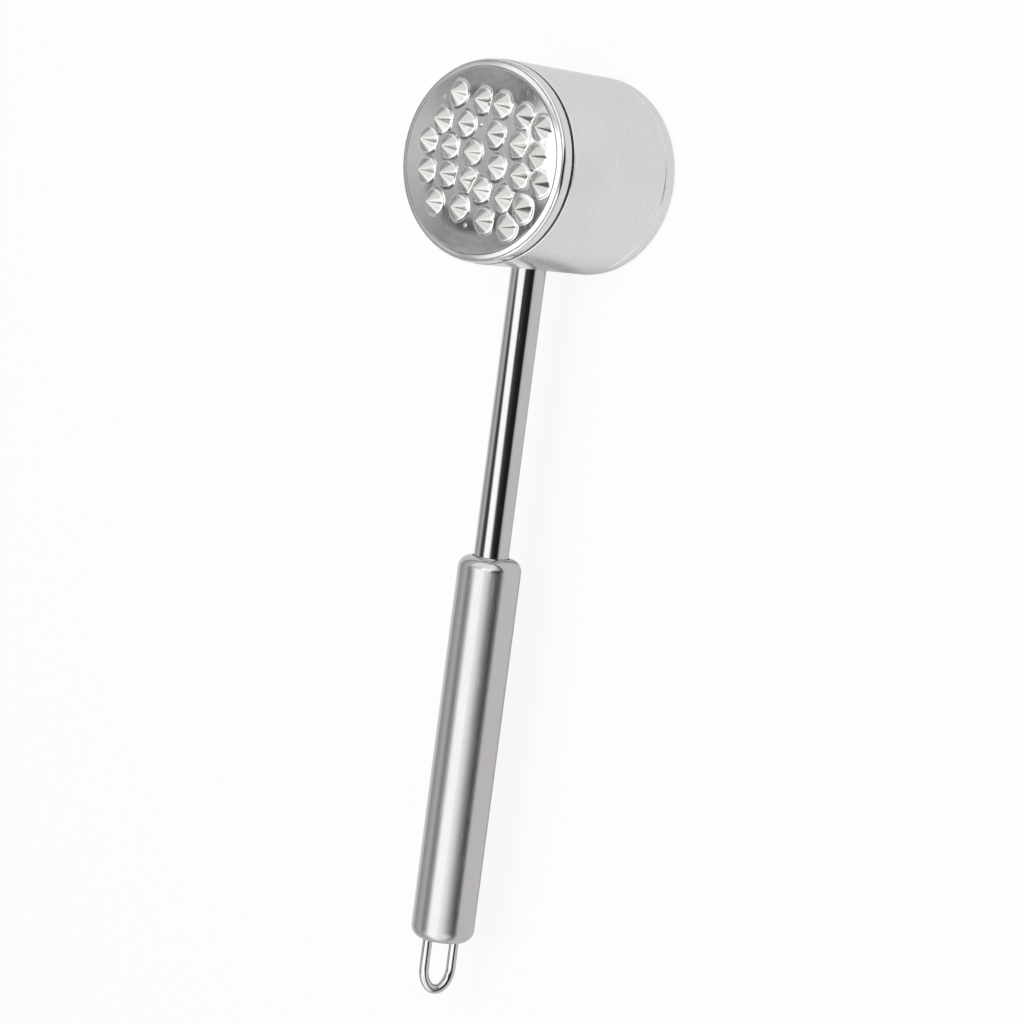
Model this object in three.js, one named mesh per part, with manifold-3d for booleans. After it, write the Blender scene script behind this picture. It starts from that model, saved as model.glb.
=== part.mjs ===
// Meat mallet: a round steel head with a toothed face and a flat face, on a rod handle.
// Lengths are in millimetres. The head stands on its flat face with its centre at the origin,
// +Z runs along the head's axis to the teeth, and the handle points along -X.
import * as THREE from "three";
import Module from "manifold-3d";
import { mergeVertices } from "three/addons/utils/BufferGeometryUtils.js";

const wasm = await Module();
wasm.setup();

// Head.
const headDiameter = 63.5;
const headHeight = 60.5; // from the flat face to the edge of the toothed one
const sheet = 1; // wall of the tube and of both pressed caps
const fitGap = 0.3; // clearance between pieces that seat on each other
const flatCapDepth = 5.4;
const flatCapEdgeRadius = 1;
const toothedCapDepth = 4.5; // from the face's edge to the cap's rim
const capGap = 1.1; // dark line between the cap's rim and the tube
const capRecess = 0.3; // how far the cap's wall lies inside the tube's surface
const capCornerRadius = 1.3;
const capCornerShare = 0.69; // of a quarter turn: the shoulder goes on from there
const shoulderDrop = 0.77;
const faceDiameter = 57.5; // inside the shoulder
const faceFlatDiameter = 40.6; // its level middle
const faceRise = 1.1; // the middle above the face's edge
const tubeEdgeChamfer = 0.6;
const spigotDepth = 3;
const coreChamfer = 1.5;

// Teeth: hollow cones pressed out of the sheet, in slanted rows.
const toothHeight = 3.4;
const toothRadius = 3.95;
const toothFootRadius = 1;
const toothTipRadius = 0.3;
const toothWall = 0.7;
// Where each tooth stands, row by row, as shares of the head's radius.
const toothShares = [
  [[0.619, 0.366], [0.57, 0.061], [0.545, -0.174], [0.461, -0.453], [0.37, -0.676]],
  [[0.347, 0.522], [0.331, 0.225], [0.262, -0.144], [0.186, -0.427], [0.099, -0.661]],
  [[0.136, 0.668], [0.095, 0.395], [0.063, 0.108], [-0.047, -0.2], [-0.104, -0.484], [-0.156, -0.734]],
  [[-0.159, 0.642], [-0.17, 0.376], [-0.204, 0.121], [-0.283, -0.055], [-0.337, -0.333], [-0.417, -0.567]],
  [[-0.454, 0.496], [-0.478, 0.187], [-0.575, -0.136], [-0.609, -0.405]],
];

// Stem, with the pin that holds it in the core.
const stemDiameter = 11.2;
const stemWall = 1.5;
const stemHeight = 28.4; // its axis above the flat face
const stemInHead = 8; // how far it runs past the head's axis
const stemInHandle = 36;
const pinDiameter = 5;
const pinInset = 1; // below the core's lower face
const pinPastStem = 8;

// Handle.
const handleStart = 124; // from the head's axis
const handleLength = 125;
const handleDiameter = 20.3;
const handleWall = 0.8;
const handleEdgeRadius = 4;
const handleCapSkirt = 1.5; // straight part of each cap
const stemLipDepth = 0.8; // the cap's edge turned in around the stem
const sleeveLength = 12;
const sleeveInset = 2; // from the stem's end

// Hanging loop.
const wireDiameter = 3.1;
const loopWidth = 9.3; // between the wire's axes
const loopReach = 16.7; // from the handle's end to the wire's axis at the bend
const loopBend = 7.2; // length of the bend along the handle, to the wire's axis
const loopTurn = 30; // degrees about the handle, from upright
const footBend = 2.4;
const footDepth = 3.4; // from the handle's end to the axis of the turned-in feet
const footGap = 2.4; // between the two feet

const headSteps = 64;
const handleSteps = 40;
const toothSteps = 16;
const handleBendSteps = 5;
const cornerSteps = 2;
const wireSteps = 54;
const wireSides = 10;
const overrun = 2; // how far a cut runs past what it cuts

const headRadius = headDiameter / 2;
const tubeInner = headRadius - sheet;
const capRadius = headRadius - capRecess;
const capBottom = headHeight - toothedCapDepth;
const shoulderHeight = headHeight - shoulderDrop;
const faceRadius = faceDiameter / 2;
const faceFlatRadius = faceFlatDiameter / 2;
const tubeBottom = flatCapDepth + fitGap / 2;
const tubeTop = capBottom - capGap;
const discBottom = tubeTop - spigotDepth;
const stemRadius = stemDiameter / 2;
const handleRadius = handleDiameter / 2;
const handleEnd = handleStart + handleLength;
const wireRadius = wireDiameter / 2;

const polished = new THREE.MeshStandardMaterial({ color: 0xc9c7c4, roughness: 0.12, metalness: 1 });
const satin = new THREE.MeshStandardMaterial({ color: 0xbdbbb8, roughness: 0.34, metalness: 1 });
const bright = new THREE.MeshStandardMaterial({ color: 0xc2c0bd, roughness: 0.22, metalness: 1 });
const cast = new THREE.MeshStandardMaterial({ color: 0x9a9b9c, roughness: 0.6, metalness: 0.9 });
const turned = new THREE.MeshStandardMaterial({ color: 0xa8a7a4, roughness: 0.4, metalness: 1 });
const plastic = new THREE.MeshStandardMaterial({ color: 0x3a3b3c, roughness: 0.7, metalness: 0 });

// A closed geometry as a solid, with its shared vertices merged.
function solidOf(geometry) {
  geometry.deleteAttribute("normal");
  geometry.deleteAttribute("uv");
  const merged = mergeVertices(geometry);
  return new wasm.Manifold(
    new wasm.Mesh({
      numProp: 3,
      vertProperties: merged.attributes.position.array,
      triVerts: new Uint32Array(merged.index.array),
    }),
  );
}

function meshOf(name, solid, material) {
  const made = solid.getMesh();
  const geometry = new THREE.BufferGeometry();
  geometry.setAttribute("position", new THREE.BufferAttribute(new Float32Array(made.vertProperties), 3));
  geometry.setIndex(new THREE.BufferAttribute(new Uint32Array(made.triVerts), 1));
  geometry.computeVertexNormals();
  const mesh = new THREE.Mesh(geometry, material);
  mesh.name = name;
  return mesh;
}

// A profile of [radius, height] points, turned about Z. It runs anticlockwise: up its outer side.
function revolve(profile, steps) {
  const points = profile.map(([radius, height]) => new THREE.Vector2(radius, height));
  return new THREE.LatheGeometry(points, steps).rotateX(Math.PI / 2);
}

// Points of an arc in a profile, by its centre, radius and two angles in quarter turns.
function arc(radius, height, bend, from, to, steps) {
  return Array.from({ length: steps + 1 }, (_, i) => {
    const angle = ((from + ((to - from) * i) / steps) * Math.PI) / 2;
    return [radius + bend * Math.cos(angle), height + bend * Math.sin(angle)];
  });
}

// A ring profile between two radii and two heights, closed on itself.
function ringProfile(inner, outer, bottom, top) {
  return [[inner, bottom], [outer, bottom], [outer, top], [inner, top], [inner, bottom]];
}

function rod(radius, bottom, top, steps) {
  return solidOf(revolve([[0, bottom], [radius, bottom], [radius, top], [0, top]], steps));
}

// A rod along X from one place to another, at a height.
function rodAlongX(radius, from, to, height, steps) {
  const geometry = revolve([[0, from], [radius, from], [radius, to], [0, to]], steps);
  return solidOf(geometry.rotateY(Math.PI / 2).translate(0, 0, height));
}

function headTube() {
  const profile = [
    [tubeInner, tubeBottom],
    [headRadius, tubeBottom],
    [headRadius, tubeTop - tubeEdgeChamfer],
    [headRadius - tubeEdgeChamfer, tubeTop],
    [tubeInner, tubeTop],
    [tubeInner, tubeBottom],
  ];
  const stemHole = rodAlongX(stemRadius + fitGap, -headRadius - overrun, 0, stemHeight, handleSteps);
  return solidOf(revolve(profile, headSteps)).subtract(stemHole);
}

function flatCap() {
  const edge = headRadius - flatCapEdgeRadius;
  const profile = [
    [0, 0],
    ...arc(edge, flatCapEdgeRadius, flatCapEdgeRadius, -1, 0, cornerSteps + 1),
    [headRadius, flatCapDepth - fitGap / 2],
    [tubeInner, flatCapDepth - fitGap / 2],
    [tubeInner, sheet],
    [0, sheet],
  ];
  return solidOf(revolve(profile, headSteps));
}

// The disc behind the teeth, which centres the cap on the tube. Its edge lies in the dark gap.
function backingDisc() {
  const discRadius = capRadius - sheet - fitGap;
  const seat = sheet + fitGap;
  const profile = [
    [0, discBottom],
    [tubeInner - fitGap, discBottom],
    [tubeInner - fitGap, tubeTop],
    [discRadius, tubeTop],
    [discRadius, shoulderHeight - seat],
    [faceRadius, headHeight - seat],
    [faceFlatRadius, headHeight + faceRise - seat],
    [0, headHeight + faceRise - seat],
  ];
  return solidOf(revolve(profile, headSteps));
}

// One tooth above the plate: foot fillet, straight flank and rounded tip.
function toothProfile() {
  const slope = Math.atan2(toothHeight, toothRadius);
  const footReach = toothFootRadius * Math.tan(slope / 2);
  const footStart = toothRadius + footReach;
  const foot = Array.from({ length: cornerSteps + 1 }, (_, i) => {
    const angle = (slope * i) / cornerSteps;
    return [footStart - toothFootRadius * Math.sin(angle), toothFootRadius * (1 - Math.cos(angle))];
  });
  const tipHeight = toothHeight - toothTipRadius / Math.cos(slope) + toothTipRadius;
  const shoulder = [toothTipRadius * Math.sin(slope), tipHeight - toothTipRadius * (1 - Math.cos(slope))];
  return [[0, -sheet / 2], [footStart, -sheet / 2], ...foot, shoulder, [0, tipHeight]];
}

// The hollow under a tooth, opening at the plate's underside.
function hollowProfile() {
  const slope = Math.atan2(toothHeight, toothRadius);
  const drop = toothWall / Math.cos(slope);
  const reach = (depth) => (toothHeight - drop + depth) / Math.tan(slope);
  return [[0, -sheet - overrun], [reach(sheet), -sheet - overrun], [reach(sheet), -sheet], [0, toothHeight - drop]];
}

// Height of the toothed face at a distance from the head's axis.
function faceHeight(radius) {
  const slope = faceRise / (faceRadius - faceFlatRadius);
  return headHeight + faceRise - slope * Math.max(radius - faceFlatRadius, 0);
}

// A solid moved from the origin to each tooth's place, and leaned to follow the face there.
function atTeeth(solid) {
  return toothShares.flat().map(([shareX, shareY]) => {
    const x = shareX * headRadius;
    const y = shareY * headRadius;
    const radius = Math.hypot(x, y);
    const fall = faceHeight(radius - toothRadius) - faceHeight(radius + toothRadius);
    const lean = THREE.MathUtils.radToDeg(Math.atan2(fall, 2 * toothRadius));
    const heading = THREE.MathUtils.radToDeg(Math.atan2(y, x));
    const middle = (faceHeight(radius - toothRadius) + faceHeight(radius + toothRadius)) / 2;
    return solid.rotate([0, lean, heading]).translate([x, y, middle]);
  });
}

// The pressed cap: wall, rounded corner, sloping shoulder, and a face that rises to its level middle.
function toothedCap() {
  const corner = capRadius - capCornerRadius;
  const cornerEnd = (capCornerShare * Math.PI) / 2;
  const cornerHeight = shoulderHeight - capCornerRadius * Math.sin(cornerEnd);
  const profile = [
    [capRadius - sheet, capBottom],
    [capRadius, capBottom],
    ...arc(corner, cornerHeight, capCornerRadius, 0, capCornerShare, cornerSteps + 1),
    [faceRadius, headHeight],
    [faceFlatRadius, headHeight + faceRise],
    [0, headHeight + faceRise],
    [0, headHeight + faceRise - sheet],
    [faceFlatRadius, headHeight + faceRise - sheet],
    [faceRadius, headHeight - sheet],
    [capRadius - sheet, shoulderHeight - sheet],
    [capRadius - sheet, capBottom],
  ];
  const shell = solidOf(revolve(profile, headSteps));
  const teeth = atTeeth(solidOf(revolve(toothProfile(), toothSteps)));
  const hollows = atTeeth(solidOf(revolve(hollowProfile(), toothSteps)));
  return wasm.Manifold.union([shell, ...teeth]).subtract(wasm.Manifold.union(hollows));
}

function headCore() {
  const bottom = sheet + fitGap;
  const top = discBottom - fitGap;
  const radius = tubeInner - fitGap;
  const profile = [
    [0, bottom],
    [radius - coreChamfer, bottom],
    [radius, bottom + coreChamfer],
    [radius, top],
    [0, top],
  ];
  const stemBore = rodAlongX(stemRadius + fitGap, -headRadius, stemInHead + fitGap, stemHeight, handleSteps);
  const pinTop = stemHeight + stemRadius + pinPastStem + fitGap;
  const pinBore = rod(pinDiameter / 2 + fitGap, bottom - overrun, pinTop, toothSteps);
  return solidOf(revolve(profile, headSteps)).subtract(stemBore).subtract(pinBore);
}

function stemPin() {
  return rod(pinDiameter / 2, sheet + fitGap + pinInset, stemHeight + stemRadius + pinPastStem, toothSteps);
}

// From here on, shapes run along the handle: Z is the distance from the head's axis and X is up.
function stem() {
  const end = handleStart + stemInHandle;
  const tube = solidOf(revolve(ringProfile(stemRadius - stemWall, stemRadius, -stemInHead, end), handleSteps));
  const reach = stemRadius + overrun;
  return tube.subtract(rodAlongX(pinDiameter / 2 + fitGap, -reach, reach, 0, toothSteps));
}

function handleTube() {
  const start = handleStart + handleEdgeRadius + handleCapSkirt;
  const end = handleEnd - handleEdgeRadius - handleCapSkirt;
  return solidOf(revolve(ringProfile(handleRadius - handleWall, handleRadius, start, end), handleSteps));
}

// The cap that the stem enters: a rounded shoulder, with its edge turned in around the stem.
function handleTopCap() {
  const hole = stemRadius + fitGap;
  const edge = handleRadius - handleEdgeRadius;
  const skirtEnd = handleStart + handleEdgeRadius + handleCapSkirt;
  const arcHeight = handleStart + handleEdgeRadius;
  const innerBend = handleEdgeRadius - handleWall;
  const profile = [
    [hole, handleStart + stemLipDepth],
    [edge, handleStart],
    ...arc(edge, arcHeight, handleEdgeRadius, -1, 0, handleBendSteps),
    [handleRadius, skirtEnd],
    [handleRadius - handleWall, skirtEnd],
    ...arc(edge, arcHeight, innerBend, 0, -1, cornerSteps),
    [hole, handleStart + stemLipDepth + handleWall],
    [hole, handleStart + stemLipDepth],
  ];
  return solidOf(revolve(profile, handleSteps));
}

// The ring that centres the stem's end inside the handle.
function stemSleeve() {
  const end = handleStart + stemInHandle - sleeveInset;
  const profile = ringProfile(
    stemRadius + fitGap,
    handleRadius - handleWall - fitGap,
    end - sleeveLength,
    end,
  );
  return solidOf(revolve(profile, handleSteps));
}

function handleEndCap() {
  const edge = handleRadius - handleEdgeRadius;
  const arcHeight = handleEnd - handleEdgeRadius;
  const skirtStart = arcHeight - handleCapSkirt;
  const profile = [
    [handleRadius - handleWall, skirtStart],
    [handleRadius, skirtStart],
    ...arc(edge, arcHeight, handleEdgeRadius, 0, 1, handleBendSteps),
    [0, handleEnd],
    [0, handleEnd - handleWall],
    ...arc(edge, arcHeight, handleEdgeRadius - handleWall, 1, 0, cornerSteps),
    [handleRadius - handleWall, skirtStart],
  ];
  let cap = solidOf(revolve(profile, handleSteps));
  const hole = rod(wireRadius + fitGap, skirtStart, handleEnd + overrun, wireSides);
  for (const side of [-1, 1]) {
    cap = cap.subtract(hole.translate([(side * loopWidth) / 2, 0, 0]).rotate([0, 0, loopTurn]));
  }
  return cap;
}

// Part of an ellipse in the XZ plane, by its centre, its radius along each axis and two angles.
class BendCurve extends THREE.Curve {
  constructor(x, z, across, along, from, to) {
    super();
    Object.assign(this, { x, z, across, along, from, to });
  }

  getPoint(t, target = new THREE.Vector3()) {
    const angle = this.from + (this.to - this.from) * t;
    return target.set(this.x + this.across * Math.cos(angle), 0, this.z + this.along * Math.sin(angle));
  }
}

// The wire loop: two legs through the end cap, with feet turned in towards each other inside it.
function hangingLoop() {
  const half = loopWidth / 2;
  const footHeight = handleEnd - footDepth;
  const legStart = footHeight + footBend;
  const legEnd = handleEnd + loopReach - loopBend;
  const at = (x, z) => new THREE.Vector3(x, 0, z);
  const path = new THREE.CurvePath();
  path.add(new THREE.LineCurve3(at(-footGap / 2, footHeight), at(-half + footBend, footHeight)));
  path.add(new BendCurve(-half + footBend, legStart, footBend, footBend, -Math.PI / 2, -Math.PI));
  path.add(new THREE.LineCurve3(at(-half, legStart), at(-half, legEnd)));
  path.add(new BendCurve(0, legEnd, half, loopBend, Math.PI, 0));
  path.add(new THREE.LineCurve3(at(half, legEnd), at(half, legStart)));
  path.add(new BendCurve(half - footBend, legStart, footBend, footBend, 0, -Math.PI / 2));
  path.add(new THREE.LineCurve3(at(half - footBend, footHeight), at(footGap / 2, footHeight)));
  const section = new THREE.Shape(
    Array.from({ length: wireSides }, (_, i) => {
      const angle = (2 * Math.PI * i) / wireSides;
      return new THREE.Vector2(wireRadius * Math.cos(angle), wireRadius * Math.sin(angle));
    }),
  );
  const wire = { steps: wireSteps, bevelEnabled: false, extrudePath: path };
  return solidOf(new THREE.ExtrudeGeometry(section, wire)).rotate([0, 0, loopTurn]);
}

const mallet = new THREE.Group();
mallet.add(meshOf("head_tube", headTube(), satin));
mallet.add(meshOf("flat_face_cap", flatCap(), satin));
mallet.add(meshOf("backing_disc", backingDisc(), turned));
mallet.add(meshOf("toothed_face_cap", toothedCap(), bright));
mallet.add(meshOf("head_core", headCore(), cast));
mallet.add(meshOf("stem_pin", stemPin(), turned));

// The handle's own frame: its Z runs away from the head, and its X is up.
const handle = new THREE.Group();
handle.position.z = stemHeight;
handle.rotation.y = -Math.PI / 2;
handle.add(meshOf("stem", stem(), polished));
handle.add(meshOf("handle_tube", handleTube(), satin));
handle.add(meshOf("handle_top_cap", handleTopCap(), satin));
handle.add(meshOf("handle_end_cap", handleEndCap(), satin));
handle.add(meshOf("stem_sleeve", stemSleeve(), plastic));
handle.add(meshOf("hanging_loop", hangingLoop(), polished));
mallet.add(handle);

export default mallet;
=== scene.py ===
import math

import bpy
import numpy as np
from mathutils import Matrix, Vector


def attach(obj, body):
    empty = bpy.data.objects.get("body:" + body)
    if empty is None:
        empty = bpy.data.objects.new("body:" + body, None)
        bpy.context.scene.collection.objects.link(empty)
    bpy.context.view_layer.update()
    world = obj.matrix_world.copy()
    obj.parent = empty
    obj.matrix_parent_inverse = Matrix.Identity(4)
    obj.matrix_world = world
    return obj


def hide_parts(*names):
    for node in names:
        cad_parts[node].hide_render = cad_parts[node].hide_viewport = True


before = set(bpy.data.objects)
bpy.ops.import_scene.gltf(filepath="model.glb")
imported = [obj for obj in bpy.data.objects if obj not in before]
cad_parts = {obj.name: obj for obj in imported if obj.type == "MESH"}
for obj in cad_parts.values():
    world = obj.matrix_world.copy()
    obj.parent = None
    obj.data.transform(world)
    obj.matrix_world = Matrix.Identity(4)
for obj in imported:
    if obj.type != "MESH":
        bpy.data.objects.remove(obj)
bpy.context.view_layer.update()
print("frame loaded:", len(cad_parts), "nodes")

scene = bpy.context.scene
scene.view_settings.view_transform = "Standard"
mm = 0.001
nearZero = 1e-6
bumpUnit = 1e-6  # bump heights in the looks are in micrometres

# sizes that several pieces share, in millimetres
headSizes = {
    "radius": 31.75,
    "sheet": 1.0,
    "flatCapTop": 5.33,
    "tubeBottom": 5.5,
    "tubeTop": 54.8,
    "capBottom": 56.0,
    "faceEdge": 60.5,
    "turns": 360,  # steps round the drum
}
rodSizes = {
    "height": 28.4,  # axis of the stem and the handle above the floor
    "stemRadius": 5.6,
    "handleRadius": 10.15,
    "handleStart": 124.0,
    "handleEnd": 249.0,
    "wall": 0.8,
    "turns": 192,
}


def roundedProfile(corners, closed, steps=7):
    # corners are (radius, height, bend); each bend becomes an arc, with a support point
    # before and after it
    points = []
    count = len(corners)
    for i, (radius, height, bend) in enumerate(corners):
        if bend == 0 or (not closed and i in (0, count - 1)):
            points.append((radius, height))
            continue
        here = Vector((radius, height))
        before = Vector(corners[i - 1][:2]) - here
        after = Vector(corners[(i + 1) % count][:2]) - here
        half = before.angle(after) / 2
        inward = (before.normalized() + after.normalized()).normalized()
        centre = here + inward * bend / math.sin(half)
        reach = bend / math.tan(half)
        start = here + before.normalized() * reach
        end = here + after.normalized() * reach
        room = min(before.length, after.length) - reach
        support = min(0.12 * bend + 0.02, 0.3 * room)  # a little past the bend, never far
        first = math.atan2(start.y - centre.y, start.x - centre.x)
        sweep = math.atan2(end.y - centre.y, end.x - centre.x) - first
        sweep = (sweep + math.pi) % (2 * math.pi) - math.pi
        if support > 0:
            points.append(tuple(start + before.normalized() * support))
        for k in range(steps + 1):
            angle = first + sweep * k / steps
            points.append((centre.x + bend * math.cos(angle), centre.y + bend * math.sin(angle)))
        if support > 0:
            points.append(tuple(end + after.normalized() * support))
    return points


def meshFrom(name, vertices, faces):
    mesh = bpy.data.meshes.new(name)
    mesh.from_pydata([tuple(v) for v in vertices], [], faces)
    mesh.validate()
    mesh.update()
    return mesh


def ringPoint(radius, height, angle):
    return (radius * mm * math.cos(angle), radius * mm * math.sin(angle), height * mm)


def turnedMesh(name, profile, closed, turns):
    # the profile runs up its outer side, so the faces point outwards
    vertices = []
    rings = []
    for radius, height in profile:
        if radius < nearZero:
            rings.append([len(vertices)] * turns)
            vertices.append((0, 0, height * mm))
            continue
        rings.append(list(range(len(vertices), len(vertices) + turns)))
        for j in range(turns):
            vertices.append(ringPoint(radius, height, 2 * math.pi * j / turns))
    faces = []
    pairs = list(zip(rings, rings[1:] + rings[:1])) if closed else list(zip(rings, rings[1:]))
    for low, high in pairs:
        for j in range(turns):
            k = (j + 1) % turns
            corners = [low[j], low[k], high[k], high[j]]
            faces.append(tuple(dict.fromkeys(corners)))
    return meshFrom(name, vertices, [face for face in faces if len(face) > 2])


def alongHandle(mesh):
    # from the handle's own frame: its Z runs away from the head, and its X is up
    height = rodSizes["height"] * mm
    mesh.transform(Matrix(((0, 0, -1, 0), (0, 1, 0, 0), (1, 0, 0, height), (0, 0, 0, 1))))


def pieceOf(name, mesh, material, sharpFrom=None):
    piece = bpy.data.objects.new(name, mesh)
    scene.collection.objects.link(piece)
    mesh.materials.clear()
    mesh.materials.append(material)
    mesh.shade_smooth()
    if sharpFrom:
        mesh.set_sharp_from_angle(angle=math.radians(sharpFrom))
    return piece


def standsFor(piece, node):
    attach(piece, "root")
    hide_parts(node)


def addNode(tree, kind, inputs=None, **settings):
    node = tree.nodes.new(kind)
    for key, value in settings.items():
        setattr(node, key, value)
    for key, value in (inputs or {}).items():
        if isinstance(value, bpy.types.NodeSocket):
            tree.links.new(value, node.inputs[key])
        else:
            node.inputs[key].default_value = value
    return node


def mathNode(tree, operation, *values, clamp=False):
    inputs = {i: value for i, value in enumerate(values)}
    return addNode(tree, "ShaderNodeMath", inputs, operation=operation, use_clamp=clamp).outputs[0]


def vectorNode(tree, operation, *values, output=0):
    inputs = {i: value for i, value in enumerate(values)}
    return addNode(tree, "ShaderNodeVectorMath", inputs, operation=operation).outputs[output]


def rangeNode(tree, value, low, high, toLow=0.0, toHigh=1.0, smooth=False):
    inputs = {"Value": value, "From Min": low, "From Max": high, "To Min": toLow, "To Max": toHigh}
    kind = "SMOOTHSTEP" if smooth else "LINEAR"
    return addNode(tree, "ShaderNodeMapRange", inputs, interpolation_type=kind).outputs["Result"]


def noiseNode(tree, vector, dimensions="3D", **inputs):
    inputs["Vector"] = vector
    node = addNode(tree, "ShaderNodeTexNoise", inputs, noise_dimensions=dimensions)
    return node.outputs["Fac"]


def socketOf(sockets, name, kind):
    return next(socket for socket in sockets if socket.name == name and socket.type == kind)


def mixColour(tree, factor, first, second):
    node = addNode(tree, "ShaderNodeMix", {"Factor": factor}, data_type="RGBA")
    for socket, value in (("A", first), ("B", second)):
        target = socketOf(node.inputs, socket, "RGBA")
        if isinstance(value, bpy.types.NodeSocket):
            tree.links.new(value, target)
        else:
            target.default_value = (*value, 1)
    return next(s for s in node.outputs if s.type == "RGBA")


def startGroup(name, kind, inputs, outputs):
    tree = bpy.data.node_groups.new(name, kind)
    for label, socketType, value in inputs:
        socket = tree.interface.new_socket(name=label, in_out="INPUT", socket_type=socketType)
        if value is not None:
            socket.default_value = value
    for label, socketType in outputs:
        tree.interface.new_socket(name=label, in_out="OUTPUT", socket_type=socketType)
    return tree, tree.nodes.new("NodeGroupInput").outputs, tree.nodes.new("NodeGroupOutput").inputs


def startMaterial(name):
    material = bpy.data.materials.new(name)
    material.use_nodes = True
    material.node_tree.nodes.clear()
    return material, material.node_tree


def showOn(tree, shader):
    output = addNode(tree, "ShaderNodeOutputMaterial")
    tree.links.new(shader.outputs[0], output.inputs["Surface"])


# the noise of the ground lines, and of the wider bands among them
lineNoise = {"Scale": 1.0, "Detail": 3.0, "Roughness": 0.62}
bandNoise = {"Scale": 0.16, "Detail": 2.0, "Roughness": 0.5}


def makeGrinding():
    # fine lines of a belt or a wheel: noise squeezed across them and stretched along them
    tree, given, result = startGroup("grindingLines", "ShaderNodeTree", [
        ("Vector", "NodeSocketVector", None),
        ("Squeeze", "NodeSocketVector", (40, 40, 4000)),
        ("Contrast", "NodeSocketFloat", 1.6),
    ], [("Lines", "NodeSocketFloat"), ("Bands", "NodeSocketFloat")])
    squeezed = vectorNode(tree, "MULTIPLY", given["Vector"], given["Squeeze"])
    for noise, name in ((lineNoise, "Lines"), (bandNoise, "Bands")):
        centred = mathNode(tree, "SUBTRACT", noiseNode(tree, squeezed, **noise), 0.5)
        spread = mathNode(tree, "MULTIPLY_ADD", centred, given["Contrast"], 0.5, clamp=True)
        tree.links.new(spread, result[name])
    return tree


smudgeNoise = {"Detail": 4.0, "Roughness": 0.55, "Distortion": 0.6}
smudgeRange = (0.38, 0.68)  # noise below and above which a place is clean or fully smudged
hairSizes = {
    "turns": ((0.3, 0.9, 0.2), (1.1, 0.2, 2.0), (2.2, 1.4, 0.7)),
    "stretch": 28,
    "gain": 14.0,  # sharpness of a scratch's edges
    "few": 0.78,  # noise level that a scratch starts from, at share 0
    "many": 0.6,  # and at share 1
}


def makeHandling():
    # what use leaves: soft smudges, and hair scratches in three directions
    tree, given, result = startGroup("handlingMarks", "ShaderNodeTree", [
        ("Vector", "NodeSocketVector", None),
        ("Smudge Size", "NodeSocketFloat", 60.0),
        ("Scratch Size", "NodeSocketFloat", 90.0),  # the same on every steel
        ("Scratch Share", "NodeSocketFloat", 0.5),
    ], [("Smudge", "NodeSocketFloat"), ("Scratch", "NodeSocketFloat")])
    soft = noiseNode(tree, given["Vector"], Scale=given["Smudge Size"], **smudgeNoise)
    tree.links.new(rangeNode(tree, soft, *smudgeRange, smooth=True), result["Smudge"])
    few, many = hairSizes["few"], hairSizes["many"]
    threshold = rangeNode(tree, given["Scratch Share"], 0.0, 1.0, few, many)
    stretch = (1, hairSizes["stretch"], hairSizes["stretch"])
    total = None
    for turn in hairSizes["turns"]:
        turned = addNode(tree, "ShaderNodeMapping", {
            "Vector": given["Vector"], "Rotation": turn, "Scale": stretch}).outputs[0]
        hair = noiseNode(tree, turned, Scale=given["Scratch Size"], Detail=1.0)
        above = mathNode(tree, "SUBTRACT", hair, threshold)
        line = mathNode(tree, "MULTIPLY", above, hairSizes["gain"], clamp=True)
        total = line if total is None else mathNode(tree, "MAXIMUM", total, line)
    tree.links.new(total, result["Scratch"])
    return tree


grinding = makeGrinding()
handling = makeHandling()


scratchRough = 0.12  # how much rougher a scratch is
alongAxis = 0.25  # a quarter turn lays the spread of a reflection along the axis


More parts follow.
